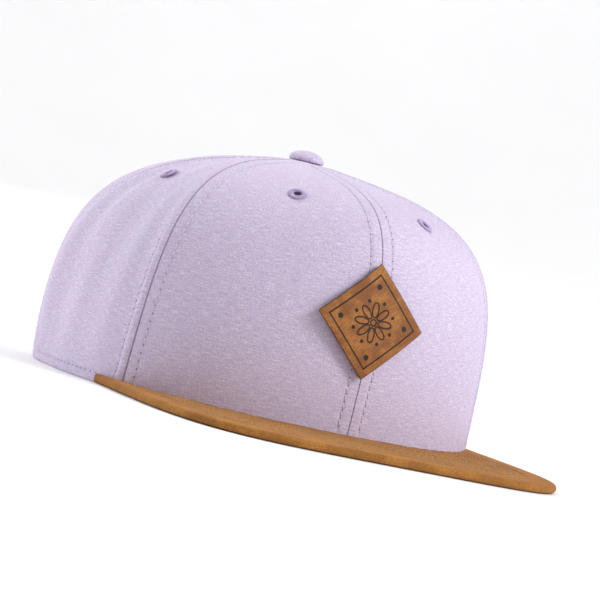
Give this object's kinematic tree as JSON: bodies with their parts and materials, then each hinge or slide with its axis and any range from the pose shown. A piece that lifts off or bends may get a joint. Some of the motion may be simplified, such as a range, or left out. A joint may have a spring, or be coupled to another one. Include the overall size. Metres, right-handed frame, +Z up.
{
  "type": "snapback cap",
  "caption": "Lilac cloth snapback cap with a high crown, flat suede brim, sweatband, leather patch, arched back opening and snap strap.",
  "frame": {"origin": "on the surface that the cap rests on, under the middle of its length and width", "axes": "+Z up, the brim points to -Y and the back opening to +Y, +X to the right of someone who faces the front"},
  "size_m": [0.194, 0.2384, 0.1175],
  "materials": {
    "crown_cloth": "matte lilac slub weave",
    "eyelet_thread": "satin embroidery thread",
    "blue_tape": "blue woven satin tape",
    "sweatband_cloth": "matte light grey twill",
    "piping_cloth": "matte cream cloth edge",
    "blue_label": "blue damask woven label",
    "strap_plastic": "smooth translucent taupe",
    "suede": "napped tan suede",
    "underside_cloth": "matte warm grey weave",
    "patch_leather": "brown leather with burnished edge"
  },
  "bodies": {
    "root": {"front_left_panel": "crown_cloth", "front_right_panel": "crown_cloth", "side_left_panel": "crown_cloth", "side_right_panel": "crown_cloth", "back_left_panel": "crown_cloth", "back_right_panel": "crown_cloth", "top_button": "crown_cloth", "eyelet_front_left": "eyelet_thread", "eyelet_front_right": "eyelet_thread", "eyelet_side_left": "eyelet_thread", "eyelet_side_right": "eyelet_thread", "eyelet_back_left": "eyelet_thread", "eyelet_back_right": "eyelet_thread", "seam_tape_front_center": "blue_tape", "seam_tape_front_side_left": "blue_tape", "seam_tape_front_side_right": "blue_tape", "seam_tape_side_back_left": "blue_tape", "seam_tape_side_back_right": "blue_tape", "seam_tape_back_center": "blue_tape", "arch_tape": "blue_tape", "sweatband": "sweatband_cloth", "rim_piping": "piping_cloth", "inner_label": "blue_label", "peg_strap": "strap_plastic", "hole_strap": "strap_plastic", "brim_cover": "suede", "brim_underside": "underside_cloth", "front_patch": "patch_leather"}
  },
  "joints": []
}
